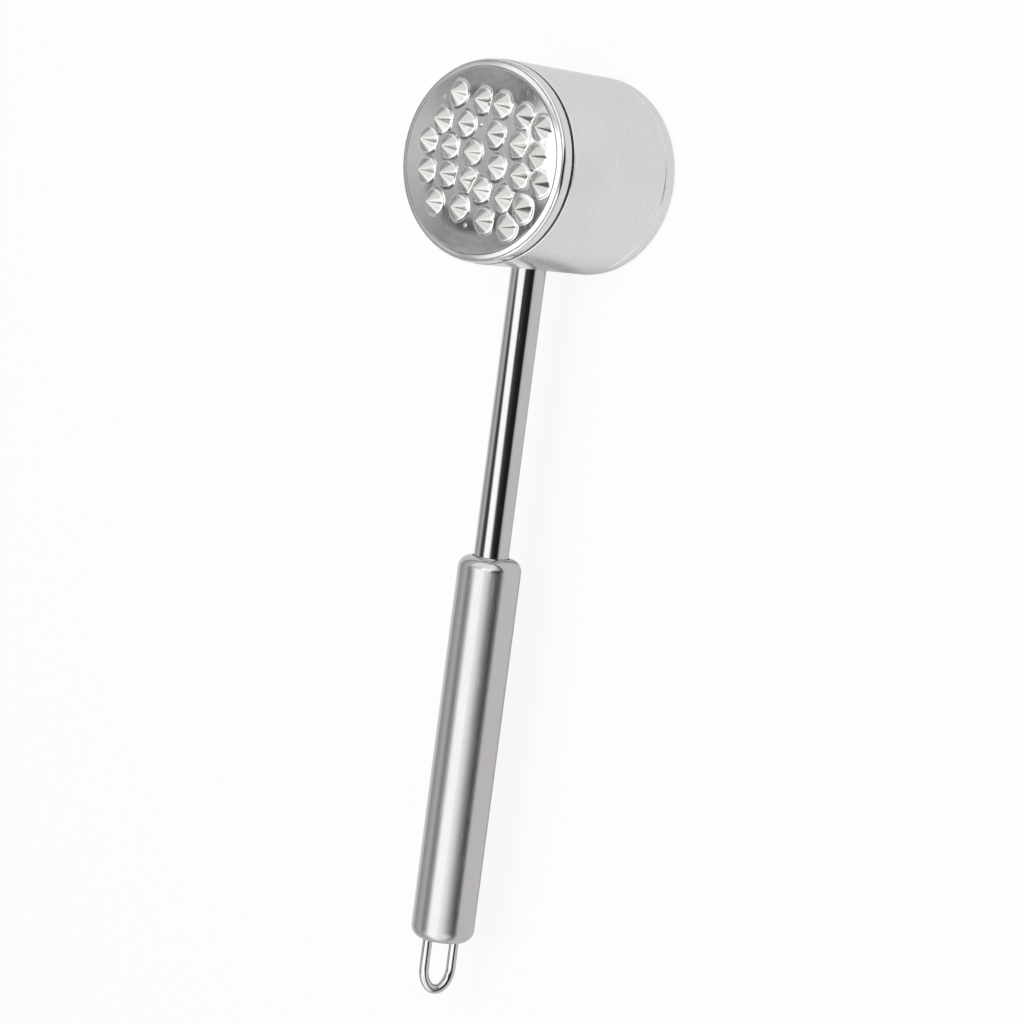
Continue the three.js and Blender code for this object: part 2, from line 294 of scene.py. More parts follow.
def steelMaterial(name, look):
    # ground or polished steel, with the colours, roughness and marks that its look gives
    material, tree = startMaterial(name)
    place = addNode(tree, "ShaderNodeTexCoord").outputs["Object"]
    lines = addNode(tree, "ShaderNodeGroup", node_tree=grinding)
    tree.links.new(place, lines.inputs["Vector"])
    lines.inputs["Squeeze"].default_value = look["squeeze"]
    marks = addNode(tree, "ShaderNodeGroup", node_tree=handling)
    tree.links.new(place, marks.inputs["Vector"])
    marks.inputs["Smudge Size"].default_value = look.get("smudgeSize", 60)
    marks.inputs["Scratch Share"].default_value = look.get("scratchShare", 0.5)
    # colour: the lines and the smudges shift it a little
    line, band = lines.outputs["Lines"], lines.outputs["Bands"]
    smudge, scratch = marks.outputs["Smudge"], marks.outputs["Scratch"]
    tone = mathNode(tree, "MULTIPLY", line, look["lineTone"])
    tone = mathNode(tree, "MULTIPLY_ADD", band, look["bandTone"], tone)
    tone = mathNode(tree, "MULTIPLY_ADD", smudge, look["smudgeTone"], tone, clamp=True)
    colour = mixColour(tree, tone, look["colour"], look["darker"])
    # roughness: rougher in the lines, the smudges and the scratches
    rough = mathNode(tree, "MULTIPLY_ADD", line, look["lineRough"], look["roughness"])
    rough = mathNode(tree, "MULTIPLY_ADD", smudge, look["smudgeRough"], rough)
    rough = mathNode(tree, "MULTIPLY_ADD", scratch, scratchRough, rough, clamp=True)
    if "polishRough" in look:
        along = addNode(tree, "ShaderNodeSeparateXYZ", {0: place}).outputs["X"]
        along = mathNode(tree, "MULTIPLY", along, -1.0)
        polish = rangeNode(tree, along, look["polishTo"], look["polishFrom"], smooth=True)
        rough = rangeNode(tree, polish, 0.0, 1.0, look["polishRough"], rough)
    if "toothRough" in look:
        # the drawn sheet of the teeth is rougher than the plate between them, and a darker colour
        # paints shade on the teeth
        drawn = addNode(tree, "ShaderNodeAttribute", attribute_name="toothShare").outputs["Fac"]
        drawn = rangeNode(tree, drawn, *look["drawnRange"])
        rough = mathNode(tree, "MULTIPLY_ADD", drawn, look["toothRough"], rough)
        colour = mixColour(tree, drawn, colour, look["toothShadeColour"])
    height = mathNode(tree, "MULTIPLY", line, look["lineBump"])
    height = mathNode(tree, "MULTIPLY_ADD", band, look["bandBump"], height)
    height = mathNode(tree, "MULTIPLY_ADD", scratch, -look["scratchBump"], height)
    bump = addNode(tree, "ShaderNodeBump", {
        "Strength": 1.0, "Distance": bumpUnit, "Height": height})
    shader = addNode(tree, "ShaderNodeBsdfPrincipled", {
        "Base Color": colour, "Roughness": rough, "Metallic": 1.0, "Normal": bump.outputs[0]})
    if "axis" in look:
        # lines ground round an axis spread a reflection along it
        around = addNode(tree, "ShaderNodeTangent", direction_type="RADIAL", axis=look["axis"])
        tree.links.new(around.outputs[0], shader.inputs["Tangent"])
        shader.inputs["Anisotropic"].default_value = look["spread"]
        shader.inputs["Anisotropic Rotation"].default_value = alongAxis
    showOn(tree, shader)
    return material


drumLook = {
    "colour": (0.8, 0.797, 0.795), "darker": (0.745, 0.745, 0.745),
    "roughness": 0.24, "lineRough": 0.04, "smudgeRough": 0.03, "axis": "Z", "spread": 0.85,
    "squeeze": (30, 30, 3200), "lineTone": 0.3, "bandTone": 0.2, "smudgeTone": 0.15,
    "lineBump": 0.3, "bandBump": 0.5, "scratchBump": 0.8, "smudgeSize": 40,
}
handleLook = {
    "colour": (0.585, 0.58, 0.572), "darker": (0.54, 0.535, 0.53),
    "roughness": 0.235, "lineRough": 0.02, "smudgeRough": 0.02, "axis": "X", "spread": 0.83,
    # polished round the stem, as far as polishTo, and satin from polishFrom on; both are in
    # metres along the handle
    "polishRough": 0.09, "polishFrom": 0.1285, "polishTo": 0.1255,
    "squeeze": (3600, 60, 60), "lineTone": 0.3, "bandTone": 0.2, "smudgeTone": 0.15,
    "lineBump": 0.3, "bandBump": 0.5, "scratchBump": 0.8, "smudgeSize": 55,
}
stemLook = {
    "colour": (0.58, 0.572, 0.562), "darker": (0.53, 0.525, 0.52),
    "roughness": 0.045, "lineRough": 0.015, "smudgeRough": 0.02,
    "squeeze": (1800, 90, 90), "lineTone": 0.15, "bandTone": 0.1, "smudgeTone": 0.1,
    "lineBump": 0.08, "bandBump": 0.4, "scratchBump": 0.5, "scratchShare": 0.25,
}
faceLook = {
    "colour": (0.78, 0.775, 0.768), "darker": (0.7, 0.7, 0.695),
    "roughness": 0.1, "lineRough": 0.05, "smudgeRough": 0.04,
    # the teeth's darker colour is painted shade on them, not a colour of their steel
    "toothRough": 0.09, "toothShadeColour": (0.57, 0.563, 0.55),
    "drawnRange": (0.03, 0.14),  # shares of a tooth's height over which this comes in
    "squeeze": (60, 2600, 60), "lineTone": 0.25, "bandTone": 0.2, "smudgeTone": 0.2,
    "lineBump": 0.5, "bandBump": 1.0, "scratchBump": 1.0,
}
turnedLook = {
    "colour": (0.3, 0.3, 0.3), "darker": (0.2, 0.2, 0.2),
    "roughness": 0.35, "lineRough": 0.15, "smudgeRough": 0.05,
    "squeeze": (50, 50, 2400), "lineTone": 0.4, "bandTone": 0.3, "smudgeTone": 0.2,
    "lineBump": 4.0, "bandBump": 6.0, "scratchBump": 2.0,
}
# near black: painted shade in the seam between the drum and the toothed face, where the backing
# disc shows
gapShadeDiscLook = dict(turnedLook, colour=(0.05, 0.05, 0.05), darker=(0.02, 0.02, 0.02), roughness=0.5)
wireLook = dict(stemLook, roughness=0.1, smudgeRough=0.04, colour=(0.6, 0.59, 0.58))

drumSteel = steelMaterial("satinDrumSteel", drumLook)
handleSteel = steelMaterial("satinHandleSteel", handleLook)
stemSteel = steelMaterial("polishedStemSteel", stemLook)
faceSteel = steelMaterial("pressedFaceSteel", faceLook)
turnedSteel = steelMaterial("turnedSteel", turnedLook)
gapShadeSteel = steelMaterial("gapShadeDiscSteel", gapShadeDiscLook)
wireSteel = steelMaterial("polishedWireSteel", wireLook)
print("finishes made")


drumSizes = {
    "edgeBend": 0.3,
    "seamBend": 0.3,
    "innerBend": 0.1,
    "bendSteps": 4,
    "holeGap": 0.04,
    "holeTurns": 128,
    "cutFrom": 10,  # the stem's hole is cut from here, along the handle
    "cutBeyond": 4,  # to this far outside the drum
    "sharpFrom": 40,
}


def makeDrum():
    outer = headSizes["radius"]
    inner = outer - headSizes["sheet"]
    corners = [
        (inner, headSizes["tubeBottom"], drumSizes["innerBend"]),
        (outer, headSizes["tubeBottom"], drumSizes["seamBend"]),
        (outer, headSizes["tubeTop"], drumSizes["edgeBend"]),
        (inner, headSizes["tubeTop"], drumSizes["innerBend"]),
    ]
    profile = roundedProfile(corners, True, drumSizes["bendSteps"])
    mesh = turnedMesh("head_drum", profile, True, headSizes["turns"])
    drum = pieceOf("head_drum", mesh, drumSteel)
    # the stem's hole
    hole = rodSizes["stemRadius"] + drumSizes["holeGap"]
    low, high = drumSizes["cutFrom"], outer + drumSizes["cutBeyond"]
    profile = [(0, low), (hole, low), (hole, high), (0, high)]
    cutterMesh = turnedMesh("hole", profile, False, drumSizes["holeTurns"])
    alongHandle(cutterMesh)
    cutter = bpy.data.objects.new("hole", cutterMesh)
    scene.collection.objects.link(cutter)
    cut = drum.modifiers.new("hole", "BOOLEAN")
    cut.operation = "DIFFERENCE"
    cut.solver = "EXACT"
    cut.object = cutter
    graph = bpy.context.evaluated_depsgraph_get()
    result = bpy.data.meshes.new_from_object(drum.evaluated_get(graph))
    drum.modifiers.remove(cut)
    drum.data = result
    bpy.data.objects.remove(cutter)
    result.shade_smooth()
    result.set_sharp_from_angle(angle=math.radians(drumSizes["sharpFrom"]))
    standsFor(drum, "head_tube")


makeDrum()
print("drum made")


flatSizes = {"edgeBend": 1.0, "seamBend": 0.3, "innerBend": 0.1, "sharpFrom": 50}


def makeFlatFace():
    outer = headSizes["radius"]
    inner = outer - headSizes["sheet"]
    corners = [
        (0, 0, 0),
        (outer, 0, flatSizes["edgeBend"]),
        (outer, headSizes["flatCapTop"], flatSizes["seamBend"]),
        (inner, headSizes["flatCapTop"], flatSizes["innerBend"]),
        (inner, headSizes["sheet"], 0),
        (0, headSizes["sheet"], 0),
    ]
    mesh = turnedMesh("flat_face", roundedProfile(corners, False), False, headSizes["turns"])
    piece = pieceOf("flat_face", mesh, drumSteel, flatSizes["sharpFrom"])
    standsFor(piece, "flat_face_cap")


makeFlatFace()
print("flat face made")


faceSizes = {
    "capRadius": 31.45,
    "faceRadius": 28.75,
    "flatRadius": 20.3,
    "rise": 1.1,
    "rings": 132,  # fine rings of the pressed disc
    "ringStep": 0.05,  # least distance from the last of them to the next ring
    "domeBend": 40,
    "ringBend": 2,
    "shoulder": (29.81, 60.236, 8.5),  # its radius, height and bend
    "wallTop": 59.363,
    "wallBend": 1.7,
    "rimBend": 0.15,
    "insideTop": 58.73,
    "insideBend": 0.3,
    "bendSteps": 6,
    "toothHeight": 3.4,
    "toothRadius": 3.9,
    "tipRound": 0.2,
    "footBlend": 0.5,
    "toothShift": 0.5,  # how far a tooth's foot lies off its tip, towards -Y
    "backSqueeze": 0.75,  # how much shorter its back is
    "toothRipple": 1.2,  # unevenness of the foot's radius
    "foldScale": 1.1,  # more gives a foot more folds
    "foldShift": 900.0,  # gives each tooth folds of its own
    "lipHeight": 0.07,
    "lipWidth": 0.42,
    "lipRange": (-0.4, 0.4),  # where the lip fades in, from -1 at the back to 1 at the front
    "burrHeight": 0.16,
    "burrRadius": 0.75,
    "waveHeight": 0.05,
    "waveScale": 130,
    "seed": 7,
}
# where each tooth stands, row by row, as shares of the head's radius
toothShares = [
    [(0.619, 0.366), (0.57, 0.061), (0.545, -0.174), (0.461, -0.453), (0.37, -0.676)],
    [(0.347, 0.522), (0.331, 0.225), (0.262, -0.144), (0.186, -0.427), (0.099, -0.661)],
    [(0.136, 0.668), (0.095, 0.395), (0.063, 0.108),
     (-0.047, -0.2), (-0.104, -0.484), (-0.156, -0.734)],
    [(-0.159, 0.642), (-0.17, 0.376), (-0.204, 0.121),
     (-0.283, -0.055), (-0.337, -0.333), (-0.417, -0.567)],
    [(-0.454, 0.496), (-0.478, 0.187), (-0.575, -0.136), (-0.609, -0.405)],
]
# small burrs left between the teeth, in millimetres
burrPlaces = [(10.9, 0.9), (-20.3, 1.8), (18.0, 16.3), (-8.7, -1.2), (8.8, 4.7)]


def faceHeight(radius):
    top = headSizes["faceEdge"] + faceSizes["rise"]
    slope = faceSizes["rise"] / (faceSizes["faceRadius"] - faceSizes["flatRadius"])
    return top - slope * max(radius - faceSizes["flatRadius"], 0)


def faceBlank():
    # the pressed disc before its teeth: rings of 6, 12, 18 ... points, then the shoulder,
    # the wall and the inside
    top = headSizes["faceEdge"] + faceSizes["rise"]
    sheet = headSizes["sheet"]
    wall = faceSizes["capRadius"]
    inside = wall - sheet
    corners = [
        (0, top, 0),
        (faceSizes["flatRadius"], top, faceSizes["domeBend"]),
        (faceSizes["faceRadius"], headSizes["faceEdge"], faceSizes["ringBend"]),
        faceSizes["shoulder"],
        (wall, faceSizes["wallTop"], faceSizes["wallBend"]),
        (wall, headSizes["capBottom"], faceSizes["rimBend"]),
        (inside, headSizes["capBottom"], faceSizes["rimBend"]),
        (inside, faceSizes["insideTop"], faceSizes["insideBend"]),
        (faceSizes["faceRadius"], headSizes["faceEdge"] - sheet, 0),
        (faceSizes["flatRadius"], top - sheet, 0),
        (0, top - sheet, 0),
    ]
    profile = roundedProfile(corners, False, faceSizes["bendSteps"])
    radii = [p[0] for p in profile]
    upperRadii, upperHeights = zip(*profile[: radii.index(max(radii)) + 1])
    rings = faceSizes["rings"]
    vertices = [(0, 0, top * mm)]
    starts = [0]
    for i in range(1, rings + 1):
        radius = faceSizes["faceRadius"] * i / rings
        height = float(np.interp(radius, upperRadii, upperHeights))
        starts.append(len(vertices))
        for j in range(6 * i):
            vertices.append(ringPoint(radius, height, math.pi * j / (3 * i)))
    faces = []
    for i in range(rings):
        low, high = max(6 * i, 1), 6 * (i + 1)
        for side in range(6):
            for j in range(i + 1):
                a = starts[i] + (side * i + j) % low
                b = starts[i + 1] + (side * (i + 1) + j) % high
                c = starts[i + 1] + (side * (i + 1) + j + 1) % high
                faces.append((a, b, c))
                if j < i:
                    faces.append((a, c, starts[i] + (side * i + j + 1) % low))
    around = 6 * rings
    last = starts[rings]
    pressed = len(vertices)
    beyond = faceSizes["faceRadius"] + faceSizes["ringStep"]
    after = next(i for i, p in enumerate(profile) if p[0] > beyond)
    for radius, height in profile[after:]:
        if radius < nearZero:
            pole = len(vertices)
            vertices.append((0, 0, height * mm))
            faces += [(last + j, pole, last + (j + 1) % around) for j in range(around)]
            break
        start = len(vertices)
        for j in range(around):
            vertices.append(ringPoint(radius, height, 2 * math.pi * j / around))
        for j in range(around):
            k = (j + 1) % around
            faces.append((last + j, start + j, start + k, last + k))
        last = start
    mesh = meshFrom("toothed_face", vertices, faces)
    mask = mesh.attributes.new("pressed", "FLOAT", "POINT")
    mask.data.foreach_set("value", [1.0 if i < pressed else 0.0 for i in range(len(vertices))])
    return mesh


def markPoints(name, places):
    # one point for each tooth or burr, with the direction in which it leans
    reach = faceSizes["toothRadius"]
    points, leans = [], []
    for x, y in places:
        radius = math.hypot(x, y)
        near, far = faceHeight(radius - reach), faceHeight(radius + reach)
        lean = math.atan2(near - far, 2 * reach)
        points.append((x * mm, y * mm, (near + far) / 2 * mm))
        leans += [math.sin(lean) * x / radius, math.sin(lean) * y / radius, math.cos(lean)]
    mesh = bpy.data.meshes.new(name)
    mesh.from_pydata(points, [], [])
    mesh.attributes.new("lean", "FLOAT_VECTOR", "POINT").data.foreach_set("vector", leans)
    marks = bpy.data.objects.new(name, mesh)
    scene.collection.objects.link(marks)
    return marks


def readAttribute(tree, name, kind):
    node = addNode(tree, "GeometryNodeInputNamedAttribute", {"Name": name}, data_type=kind)
    return node.outputs[0]


def scaleVector(tree, vector, factor):
    inputs = {0: vector, "Scale": factor}
    return addNode(tree, "ShaderNodeVectorMath", inputs, operation="SCALE").outputs[0]


def nearestMark(tree, marks):
    # the place and the lean of the mark next to each point of the face
    shape = addNode(tree, "GeometryNodeObjectInfo", {"Object": marks}).outputs["Geometry"]
    nearest = addNode(tree, "GeometryNodeSampleNearest", {"Geometry": shape}, domain="POINT")
    index = nearest.outputs[0]
    place = addNode(tree, "GeometryNodeInputPosition").outputs[0]
    found = []
    for field in (place, readAttribute(tree, "lean", "FLOAT_VECTOR")):
        sample = addNode(tree, "GeometryNodeSampleIndex", data_type="FLOAT_VECTOR", domain="POINT")
        tree.links.new(shape, sample.inputs["Geometry"])
        tree.links.new(index, sample.inputs["Index"])
        tree.links.new(field, socketOf(sample.inputs, "Value", "VECTOR"))
        found.append(next(s for s in sample.outputs if s.type == "VECTOR"))
    return found


def endTree(tree, shape, material, result):
    real = addNode(tree, "GeometryNodeRealizeInstances", {"Geometry": shape}).outputs[0]
    dressed = addNode(tree, "GeometryNodeSetMaterial", {"Geometry": real, "Material": material})
    tree.links.new(dressed.outputs[0], result["Geometry"])


def pressTree():
    tree, given, result = startGroup("pressTeeth", "GeometryNodeTree", [
        ("Geometry", "NodeSocketGeometry", None),
        ("Tooth Marks", "NodeSocketObject", None),
        ("Tooth Height", "NodeSocketFloat", 0.0034),
        ("Tooth Radius", "NodeSocketFloat", 0.0039),
        ("Tip Round", "NodeSocketFloat", 0.0002),
        ("Foot Blend", "NodeSocketFloat", 0.001),
        ("Tooth Shift", "NodeSocketFloat", 0.0005),
        ("Back Squeeze", "NodeSocketFloat", 0.0007),
        ("Tooth Ripple", "NodeSocketFloat", 0.001),
        ("Lip Height", "NodeSocketFloat", 0.0001),
        ("Lip Width", "NodeSocketFloat", 0.0004),
        ("Burr Marks", "NodeSocketObject", None),
        ("Burr Height", "NodeSocketFloat", 0.0001),
        ("Burr Radius", "NodeSocketFloat", 0.001),
        ("Wave Height", "NodeSocketFloat", 0.00005),
        ("Wave Scale", "NodeSocketFloat", 130.0),
        ("Seed", "NodeSocketFloat", 7.0),
        ("Material", "NodeSocketMaterial", None),
    ], [("Geometry", "NodeSocketGeometry")])
    position = addNode(tree, "GeometryNodeInputPosition").outputs[0]
    normal = addNode(tree, "GeometryNodeInputNormal").outputs[0]
    mask = readAttribute(tree, "pressed", "FLOAT")
    # a tooth: a cone with a rounded tip, blended into the sheet at its foot
    place, lean = nearestMark(tree, given["Tooth Marks"])
    offset = vectorNode(tree, "SUBTRACT", position, place)
    aside = vectorNode(tree, "CROSS_PRODUCT", offset, lean)
    aside = vectorNode(tree, "LENGTH", aside, output="Value")
    # the foot is uneven and lies off the tip
    heading = vectorNode(tree, "NORMALIZE", offset)
    own = scaleVector(tree, place, faceSizes["foldShift"])
    fold = faceSizes["foldScale"]
    folded = vectorNode(tree, "MULTIPLY", heading, (fold, fold, 0))
    folded = vectorNode(tree, "ADD", folded, own)
    creases = noiseNode(tree, folded, "4D", W=given["Seed"], Scale=1.0, Detail=1.0)
    uneven = mathNode(tree, "SUBTRACT", creases, 0.5)
    uneven = mathNode(tree, "MULTIPLY", uneven, given["Tooth Ripple"])
    off = vectorNode(tree, "DOT_PRODUCT", heading, (0, -1, 0), output="Value")
    shifted = mathNode(tree, "MULTIPLY_ADD", off, given["Tooth Shift"], uneven)
    reach = mathNode(tree, "ADD", given["Tooth Radius"], shifted)
    back = mathNode(tree, "MINIMUM", off, 0.0)
    reach = mathNode(tree, "MULTIPLY_ADD", back, given["Back Squeeze"], reach)
    square = mathNode(tree, "MULTIPLY", aside, aside)
    tipSquare = mathNode(tree, "MULTIPLY", given["Tip Round"], given["Tip Round"])
    distance = mathNode(tree, "SQRT", mathNode(tree, "ADD", square, tipSquare))
    share = mathNode(tree, "SUBTRACT", 1.0, mathNode(tree, "DIVIDE", distance, reach))
    cone = mathNode(tree, "MULTIPLY", share, given["Tooth Height"])
    tooth = mathNode(tree, "SMOOTH_MAX", cone, 0.0, given["Foot Blend"])
    # a low lip where the sheet was drawn up round the tooth
    beyond = mathNode(tree, "SUBTRACT", aside, reach)
    beyond = mathNode(tree, "SUBTRACT", beyond, given["Lip Width"])
    beyond = mathNode(tree, "DIVIDE", beyond, given["Lip Width"])
    beyond = mathNode(tree, "MULTIPLY", beyond, beyond)
    crest = mathNode(tree, "SUBTRACT", 1.0, beyond, clamp=True)
    crest = mathNode(tree, "MULTIPLY", crest, crest)
    crest = mathNode(tree, "MULTIPLY", crest, rangeNode(tree, off, *faceSizes["lipRange"]))
    tooth = mathNode(tree, "MULTIPLY_ADD", crest, given["Lip Height"], tooth)
    tooth = mathNode(tree, "MULTIPLY", tooth, mask)
    # burrs and waves of the sheet
    burrPlace, _ = nearestMark(tree, given["Burr Marks"])
    away = vectorNode(tree, "DISTANCE", position, burrPlace, output="Value")
    ratio = mathNode(tree, "DIVIDE", away, given["Burr Radius"])
    rise = mathNode(tree, "SUBTRACT", 1.0, mathNode(tree, "MULTIPLY", ratio, ratio), clamp=True)
    burr = mathNode(tree, "MULTIPLY", mathNode(tree, "MULTIPLY", rise, rise), given["Burr Height"])
    wave = noiseNode(tree, position, "4D", W=given["Seed"], Scale=given["Wave Scale"], Detail=2.0)
    wave = mathNode(tree, "SUBTRACT", wave, 0.5)
    wave = mathNode(tree, "MULTIPLY", wave, given["Wave Height"])
    sheetMove = mathNode(tree, "MULTIPLY", mathNode(tree, "ADD", wave, burr), mask)
    along = scaleVector(tree, lean, tooth)
    across = scaleVector(tree, normal, sheetMove)
    moved = addNode(tree, "GeometryNodeSetPosition", {
        "Geometry": given["Geometry"], "Offset": vectorNode(tree, "ADD", along, across)}).outputs[0]
    stored = addNode(tree, "GeometryNodeStoreNamedAttribute", {
        "Geometry": moved, "Name": "toothShare"}, data_type="FLOAT", domain="POINT")
    target = socketOf(stored.inputs, "Value", "VALUE")
    tree.links.new(mathNode(tree, "DIVIDE", tooth, given["Tooth Height"]), target)
    endTree(tree, stored.outputs[0], given["Material"], result)
    return tree


def runTree(source, tree, values):
    # sets the tree's inputs by their identifiers, and returns the result as a plain mesh
    modifier = source.modifiers.new(tree.name, "NODES")
    modifier.node_group = tree
    for socket in tree.interface.items_tree:
        if socket.in_out == "INPUT" and socket.name in values:
            modifier[socket.identifier] = values[socket.name]
    graph = bpy.context.evaluated_depsgraph_get()
    graph.update()
    made = bpy.data.meshes.new_from_object(source.evaluated_get(graph))
    source.modifiers.remove(modifier)
    return made


def makeToothedFace():
    radius = headSizes["radius"]
    places = [(x * radius, y * radius) for row in toothShares for x, y in row]
    teeth = markPoints("toothMarks", places)
    burrs = markPoints("burrMarks", burrPlaces)
    piece = pieceOf("toothed_face", faceBlank(), faceSteel)
    made = runTree(piece, pressTree(), {
        "Tooth Marks": teeth,
        "Tooth Height": faceSizes["toothHeight"] * mm,
        "Tooth Radius": faceSizes["toothRadius"] * mm,
        "Tip Round": faceSizes["tipRound"] * mm,
        "Foot Blend": faceSizes["footBlend"] * mm,
        "Tooth Shift": faceSizes["toothShift"] * mm,
        "Back Squeeze": faceSizes["backSqueeze"] * mm,
        "Tooth Ripple": faceSizes["toothRipple"] * mm,
        "Lip Height": faceSizes["lipHeight"] * mm,
        "Lip Width": faceSizes["lipWidth"] * mm,
        "Burr Marks": burrs,
        "Burr Height": faceSizes["burrHeight"] * mm,
        "Burr Radius": faceSizes["burrRadius"] * mm,
        "Wave Height": faceSizes["waveHeight"] * mm,
        "Wave Scale": float(faceSizes["waveScale"]),
        "Seed": float(faceSizes["seed"]),
        "Material": faceSteel,
    })
    piece.data = made
    made.shade_smooth()
    bpy.data.objects.remove(teeth)
    bpy.data.objects.remove(burrs)
    standsFor(piece, "toothed_face_cap")
    print("toothed face made:", len(places), "teeth,", len(made.polygons), "faces")


makeToothedFace()


stemSizes = {"start": -8.0, "end": 160.0, "bore": 4.1, "endBend": 0.3, "sharpFrom": 40}


def makeStem():
    corners = [
        (stemSizes["bore"], stemSizes["start"], 0),
        (rodSizes["stemRadius"], stemSizes["start"], stemSizes["endBend"]),
        (rodSizes["stemRadius"], stemSizes["end"], stemSizes["endBend"]),
        (stemSizes["bore"], stemSizes["end"], 0),
    ]
    mesh = turnedMesh("stem_tube", roundedProfile(corners, True), True, rodSizes["turns"])
    alongHandle(mesh)
    piece = pieceOf("stem_tube", mesh, stemSteel, stemSizes["sharpFrom"])
    standsFor(piece, "stem")


makeStem()
print("stem made")


handleSizes = {
    "edgeBend": 4.0,
    "shoulderBend": 3.999,
    "innerBend": 3,
    "bendSteps": 14,
    "skirt": 1.5,  # how far a cap goes on beyond its bend
    "holeRadius": 6.1,
    "lipDepth": 0.8,
    "lipBend": 0.12,
    "sharpFrom": 50,
}


def makeHandle():
    outer = rodSizes["handleRadius"]
    inner = outer - rodSizes["wall"]
    start, end = rodSizes["handleStart"], rodSizes["handleEnd"]
    reach = handleSizes["edgeBend"] + handleSizes["skirt"]
    hole = handleSizes["holeRadius"]
    wall = rodSizes["wall"]
    low, high = start + reach, end - reach
    lipEnd = start + handleSizes["lipDepth"] + wall
    steps = handleSizes["bendSteps"]
    tube = [(inner, low), (outer, low), (outer, high), (inner, high)]
    top = [
        (hole, lipEnd, 0),
        (hole, start, handleSizes["lipBend"]),
        (outer, start, handleSizes["shoulderBend"]),
        (outer, low, 0),
        (inner, low, 0),
        (inner, lipEnd, handleSizes["innerBend"]),
    ]
    bottom = [
        (inner, high, 0),
        (outer, high, 0),
        (outer, end, handleSizes["edgeBend"]),
        (0, end, 0),
        (0, end - wall, 0),
        (inner, end - wall, handleSizes["innerBend"]),
    ]
    for name, profile, node in (
        ("handle_barrel", tube, "handle_tube"),
        ("handle_shoulder", roundedProfile(top, True, steps), "handle_top_cap"),
        ("handle_end", roundedProfile(bottom, True, steps), "handle_end_cap"),
    ):
        mesh = turnedMesh(name, profile, True, rodSizes["turns"])
        alongHandle(mesh)
        piece = pieceOf(name, mesh, handleSteel, handleSizes["sharpFrom"])
        standsFor(piece, node)


makeHandle()
print("handle made")


loopSizes = {
    "wire": 3.1, "width": 9.3, "reach": 16.7, "bend": 7.2, "turn": 30,
    "footBend": 2.4, "footDepth": 3.4, "footGap": 2.4, "footSteps": 12,
    "bendSteps": 64, "sides": 40, "sharpFrom": 60,
}


def loopPath():
    half = loopSizes["width"] / 2
    end = rodSizes["handleEnd"]
    foot = end - loopSizes["footDepth"]
    bend = loopSizes["footBend"]
    legEnd = end + loopSizes["reach"] - loopSizes["bend"]
    points = [(-loopSizes["footGap"] / 2, foot)]

    def turnAbout(x, z, across, along, first, last, steps):
        for k in range(steps + 1):
            angle = math.radians(first + (last - first) * k / steps)
            points.append((x + across * math.cos(angle), z + along * math.sin(angle)))

    steps = loopSizes["footSteps"]
    turnAbout(-half + bend, foot + bend, bend, bend, -90, -180, steps)
    turnAbout(0, legEnd, half, loopSizes["bend"], 180, 0, loopSizes["bendSteps"])
    turnAbout(half - bend, foot + bend, bend, bend, 0, -90, steps)
    points.append((loopSizes["footGap"] / 2, foot))
    height = rodSizes["height"]
    turn = math.radians(loopSizes["turn"])
    side, up = math.sin(turn), math.cos(turn)
    return [(-z * mm, x * side * mm, (height + x * up) * mm) for x, z in points]


def wireTree():
    tree, given, result = startGroup("bendWire", "GeometryNodeTree", [
        ("Geometry", "NodeSocketGeometry", None),
        ("Wire Radius", "NodeSocketFloat", 0.0012),
        ("Sides", "NodeSocketInt", 32),
        ("Material", "NodeSocketMaterial", None),
    ], [("Geometry", "NodeSocketGeometry")])
    section = addNode(tree, "GeometryNodeCurvePrimitiveCircle", {
        "Resolution": given["Sides"], "Radius": given["Wire Radius"]}, mode="RADIUS")
    section = section.outputs["Curve"]
    swept = addNode(tree, "GeometryNodeCurveToMesh", {
        "Curve": given["Geometry"], "Profile Curve": section, "Fill Caps": True}).outputs[0]
    endTree(tree, swept, given["Material"], result)
    return tree


def makeLoop():
    path = loopPath()
    curve = bpy.data.curves.new("hanging_wire", "CURVE")
    curve.dimensions = "3D"
    spline = curve.splines.new("POLY")
    spline.points.add(len(path) - 1)
    for point, place in zip(spline.points, path):
        point.co = (*place, 1)
    guide = bpy.data.objects.new("hanging_wire_path", curve)
    scene.collection.objects.link(guide)
    mesh = runTree(guide, wireTree(), {
        "Wire Radius": loopSizes["wire"] / 2 * mm,
        "Sides": loopSizes["sides"],
        "Material": wireSteel,
    })
    bpy.data.objects.remove(guide)
    mesh.name = "hanging_wire"
    piece = pieceOf("hanging_wire", mesh, wireSteel, loopSizes["sharpFrom"])
    standsFor(piece, "hanging_loop")


makeLoop()
print("loop made")


castLook = {
    "colour": (0.42, 0.425, 0.43), "lighter": (0.56, 0.56, 0.56),
    "cloudScale": 70.0, "cloudDetail": 3.0, "cloudRange": (0.35, 0.65),
    "grainScale": 900.0, "grainDetail": 4.0, "grainRange": (0.3, 0.7), "grainDepth": 0.00012,
    "metallic": 0.9, "smoothest": 0.48, "roughest": 0.68,
}


def castAluminium(look):
    material, tree = startMaterial("castAluminium")
    place = addNode(tree, "ShaderNodeTexCoord").outputs["Object"]
    grain = noiseNode(tree, place, Scale=look["grainScale"], Detail=look["grainDetail"])
    cloud = noiseNode(tree, place, Scale=look["cloudScale"], Detail=look["cloudDetail"])
    cloud = rangeNode(tree, cloud, *look["cloudRange"])
    colour = mixColour(tree, cloud, look["colour"], look["lighter"])
    bump = addNode(tree, "ShaderNodeBump", {
        "Strength": 1.0, "Distance": look["grainDepth"], "Height": grain})
    rough = rangeNode(tree, grain, *look["grainRange"], look["smoothest"], look["roughest"])
    shader = addNode(tree, "ShaderNodeBsdfPrincipled", {
        "Base Color": colour, "Metallic": look["metallic"], "Roughness": rough,
        "Normal": bump.outputs[0]})
    showOn(tree, shader)
    return material


